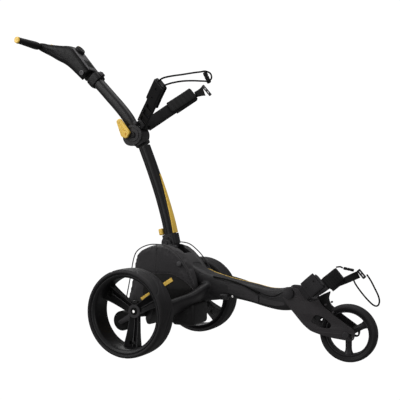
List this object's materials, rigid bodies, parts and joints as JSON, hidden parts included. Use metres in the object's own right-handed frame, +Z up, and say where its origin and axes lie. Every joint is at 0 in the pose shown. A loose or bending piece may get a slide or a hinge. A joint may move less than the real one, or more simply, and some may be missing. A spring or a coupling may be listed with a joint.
{
  "type": "electric golf trolley",
  "caption": "Three-wheeled electric golf bag cart with twin wheel motors, a folding curved mast, a T-bar handle head, two padded bag cradles and a battery case on the frame.",
  "frame": {"origin": "on the ground, under the middle of the trolley's length and width", "axes": "+X forward to the front wheel, +Y to the trolley's left, +Z up"},
  "size_m": [1.3746, 0.615, 1.1725],
  "materials": {
    "body_plastic": "satin dark graphite moulding",
    "black_plastic": "fine matt grain",
    "soft_plastic": "soft-touch, matt",
    "graphite_metal": "dark satin anodised",
    "motor_case": "plain",
    "steel": "plain",
    "yellow_plastic": "semi-gloss yellow",
    "tyre_rubber": "matt",
    "pad_rubber": "matt",
    "bag_fabric": "coated woven fabric",
    "battery_case": "plain",
    "webbing": "woven strap",
    "bungee_cord": "braided cover over elastic"
  },
  "bodies": {
    "trolley": {"chassis_frame": "body_plastic", "axle_housing": "graphite_metal", "gearmotor_right": "motor_case", "gearmotor_left": "motor_case", "controller_box": "body_plastic", "battery_tray": "body_plastic", "battery_bag": "bag_fabric", "battery_pack": "battery_case", "battery_strap_right": "yellow_plastic", "battery_strap_left": "yellow_plastic", "mast_pin": "steel", "anti_tip_arm": "black_plastic", "fold_pin": "body_plastic"},
    "anti_tip": {"anti_tip_wheel": "tyre_rubber"},
    "wheel_right": {"tyre_right": "tyre_rubber", "rim_right": "black_plastic", "axle_shaft_right": "steel"},
    "wheel_left": {"tyre_left": "tyre_rubber", "rim_left": "black_plastic", "axle_shaft_left": "steel"},
    "fork": {"fork_plate_right": "graphite_metal", "fork_plate_left": "graphite_metal", "fork_spacer": "black_plastic", "front_axle": "steel", "lower_cradle": "black_plastic", "lower_pad_right": "pad_rubber", "lower_pad_left": "pad_rubber", "lower_strap": "webbing", "lower_buckle": "black_plastic", "lower_toggle": "soft_plastic", "lower_bungee": "bungee_cord", "lower_loop": "bungee_cord"},
    "front_wheel": {"front_tyre": "tyre_rubber", "front_rim": "black_plastic"},
    "mast": {"mast_knuckle": "graphite_metal", "lower_tube": "graphite_metal", "tube_insert": "yellow_plastic", "joint_housing": "graphite_metal", "joint_pin": "steel", "upper_cradle": "black_plastic", "upper_pad_right": "pad_rubber", "upper_pad_left": "pad_rubber", "upper_strap": "webbing", "upper_buckle": "black_plastic", "bungee_toggle": "soft_plastic", "upper_bungee": "bungee_cord"},
    "latch": {"mast_latch": "yellow_plastic"},
    "handle": {"upper_tube": "graphite_metal", "head_collar": "black_plastic", "head_bolt": "steel"},
    "lever": {"cam_lever": "yellow_plastic"},
    "head": {"head_housing": "black_plastic", "head_cover": "soft_plastic", "grip_right": "soft_plastic", "grip_left": "soft_plastic", "grip_cap_right": "yellow_plastic", "grip_cap_left": "yellow_plastic"},
    "dial": {"speed_dial": "soft_plastic"},
    "power": {"power_button": "yellow_plastic"},
    "angle": {"angle_button": "soft_plastic"}
  },
  "joints": [
    {"name": "right_wheel_spin", "type": "hinge", "parent": "trolley", "child": "wheel_right", "pos_m": [-0.08715, -0.265, 0.15], "axis": [0, 1, 0], "continuous": true},
    {"name": "left_wheel_spin", "type": "hinge", "parent": "trolley", "child": "wheel_left", "pos_m": [-0.08715, 0.265, 0.15], "axis": [0, 1, 0], "continuous": true},
    {"name": "anti_tip_wheel_spin", "type": "hinge", "parent": "trolley", "child": "anti_tip", "pos_m": [-0.28715, 0, 0.066], "axis": [0, 1, 0], "continuous": true},
    {"name": "fork_fold", "type": "hinge", "parent": "trolley", "child": "fork", "pos_m": [0.39785, 0, 0.217], "axis": [0, 1, 0], "range_deg": [0, 90]},
    {"name": "front_wheel_spin", "type": "hinge", "parent": "fork", "child": "front_wheel", "pos_m": [0.59285, 0, 0.0945], "axis": [0, 1, 0], "continuous": true},
    {"name": "mast_fold", "type": "hinge", "parent": "trolley", "child": "mast", "pos_m": [-0.07715, 0, 0.372], "axis": [0, 1, 0], "range_deg": [0, 85]},
    {"name": "mast_latch_swing", "type": "hinge", "parent": "mast", "child": "latch", "pos_m": [-0.11715, 0, 0.402], "axis": [0, -1, 0], "range_deg": [0, 20]},
    {"name": "handle_fold", "type": "hinge", "parent": "mast", "child": "handle", "pos_m": [-0.22415, 0, 0.777], "axis": [0, -1, 0], "range_deg": [0, 110]},
    {"name": "clamp_lever_swing", "type": "hinge", "parent": "handle", "child": "lever", "pos_m": [-0.24615, -0.0395, 0.763], "axis": [0.8924, 0, 0.4512], "range_deg": [0, 110]},
    {"name": "head_tilt", "type": "hinge", "parent": "handle", "child": "head", "pos_m": [-0.45718, 0, 1.03101], "axis": [0, 1, 0], "range_deg": [-20, 20]},
    {"name": "speed_dial_turn", "type": "hinge", "parent": "head", "child": "dial", "pos_m": [-0.49448, 0, 1.12477], "axis": [0.76, 0, 0.65], "range_deg": [-135, 135]},
    {"name": "power_button_press", "type": "slide", "parent": "head", "child": "power", "axis": [-0.306, 0, -0.952], "range_m": [0, 0.0025], "stiffness_N_per_m": 300},
    {"name": "angle_button_press", "type": "slide", "parent": "handle", "child": "angle", "axis": [-0.76, 0, -0.65], "range_m": [0, 0.0025], "stiffness_N_per_m": 300}
  ]
}
